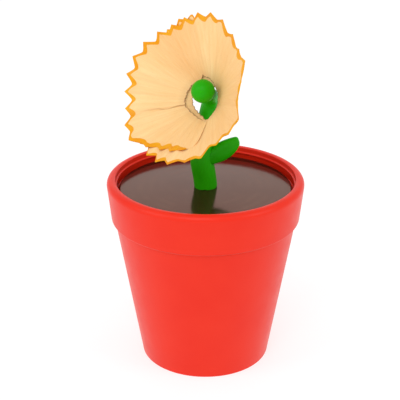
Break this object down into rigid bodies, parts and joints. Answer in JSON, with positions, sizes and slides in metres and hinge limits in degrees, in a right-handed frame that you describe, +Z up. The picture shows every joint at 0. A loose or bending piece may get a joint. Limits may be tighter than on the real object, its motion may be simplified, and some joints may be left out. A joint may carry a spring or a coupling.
{
  "type": "pencil sharpener",
  "caption": "Desk pencil sharpener shaped as a flower pot: wedge sharpener in the base, lift-off soil lid, and a hooked stem that holds a pencil shaving as the flower.",
  "frame": {"origin": "centre of the pot's foot ring, on the surface it stands on", "axes": "+Z up along the pot's axis, -Y to the front, leaf towards +X, shaving opening towards -X and -Y"},
  "size_m": [0.0556, 0.0556, 0.1017],
  "materials": {
    "pot_red": "satin-gloss moulded ABS",
    "base_red": "fine moulded texture",
    "block_metal": "die-cast magnesium alloy, satin",
    "blade_steel": "ground",
    "screw_steel": "bright zinc plated",
    "soil_brown": "high gloss moulded ABS",
    "ring_rubber": "soft silicone",
    "stem_green": "satin-gloss moulded ABS",
    "shaving_wood": "planed softwood with an orange-yellow lacquered rim"
  },
  "bodies": {
    "pot": {"pot_shell": "pot_red", "base_plate": "base_red", "base_screws": "screw_steel", "sharpener_block": "block_metal", "sharpener_blade": "blade_steel", "blade_screw": "screw_steel"},
    "lid": {"soil_lid": "soil_brown", "lid_grip_ring": "ring_rubber", "stem": "stem_green", "leaf": "stem_green", "stem_washer": "screw_steel", "stem_screw": "screw_steel"},
    "shaving": {"pencil_shaving": "shaving_wood"}
  },
  "joints": [
    {"name": "lid_lift", "type": "slide", "parent": "pot", "child": "lid", "axis": [0, 0, 1], "range_m": [0, 0.04]},
    {"name": "shaving_off", "type": "slide", "parent": "lid", "child": "shaving", "axis": [-0.1066, -0.7586, 0.6428], "range_m": [0, 0.03]}
  ]
}
